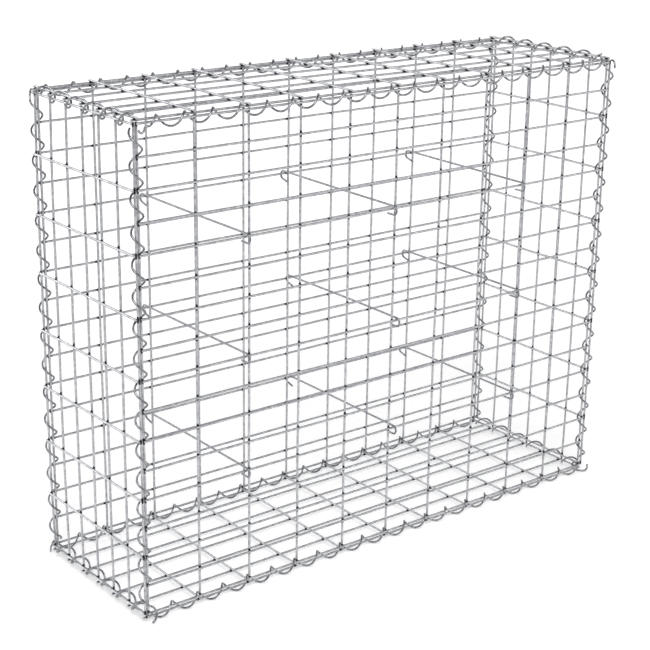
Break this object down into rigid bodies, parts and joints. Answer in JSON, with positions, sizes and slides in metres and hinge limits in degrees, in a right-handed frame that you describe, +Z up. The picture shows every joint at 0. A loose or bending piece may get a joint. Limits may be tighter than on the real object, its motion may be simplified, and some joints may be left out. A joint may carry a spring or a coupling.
{
  "type": "gabion basket",
  "caption": "Rectangular stone-filling basket of welded wire mesh, its panels laced along every edge by spiral wires and held across by hooked tie rods.",
  "frame": {"origin": "middle of the underside of the whole basket, on the surface it stands on", "axes": "+X to the right along the front panel, which faces -Y; +Y to the back; +Z up"},
  "size_m": [1.0338, 0.3318, 0.8314],
  "materials": {
    "mesh_wire": "galvanised, bright grey",
    "spiral_wire": "galvanised, slightly darker",
    "tie_rod_wire": "galvanised, drawn wire"
  },
  "bodies": {
    "root": {"front_panel": "mesh_wire", "back_panel": "mesh_wire", "left_end_panel": "mesh_wire", "right_end_panel": "mesh_wire", "base_panel": "mesh_wire", "lid_panel": "mesh_wire", "spiral_top_front": "spiral_wire", "spiral_top_back": "spiral_wire", "spiral_top_left": "spiral_wire", "spiral_top_right": "spiral_wire", "spiral_bottom_front": "spiral_wire", "spiral_bottom_back": "spiral_wire", "spiral_bottom_left": "spiral_wire", "spiral_bottom_right": "spiral_wire", "spiral_corner_front_left": "spiral_wire", "spiral_corner_front_right": "spiral_wire", "spiral_corner_back_left": "spiral_wire", "spiral_corner_back_right": "spiral_wire", "tie_rod_top_left": "tie_rod_wire", "tie_rod_top_middle": "tie_rod_wire", "tie_rod_top_right": "tie_rod_wire", "tie_rod_middle_left": "tie_rod_wire", "tie_rod_middle_middle": "tie_rod_wire", "tie_rod_middle_right": "tie_rod_wire", "tie_rod_bottom_left": "tie_rod_wire", "tie_rod_bottom_middle": "tie_rod_wire", "tie_rod_bottom_right": "tie_rod_wire"}
  },
  "joints": []
}
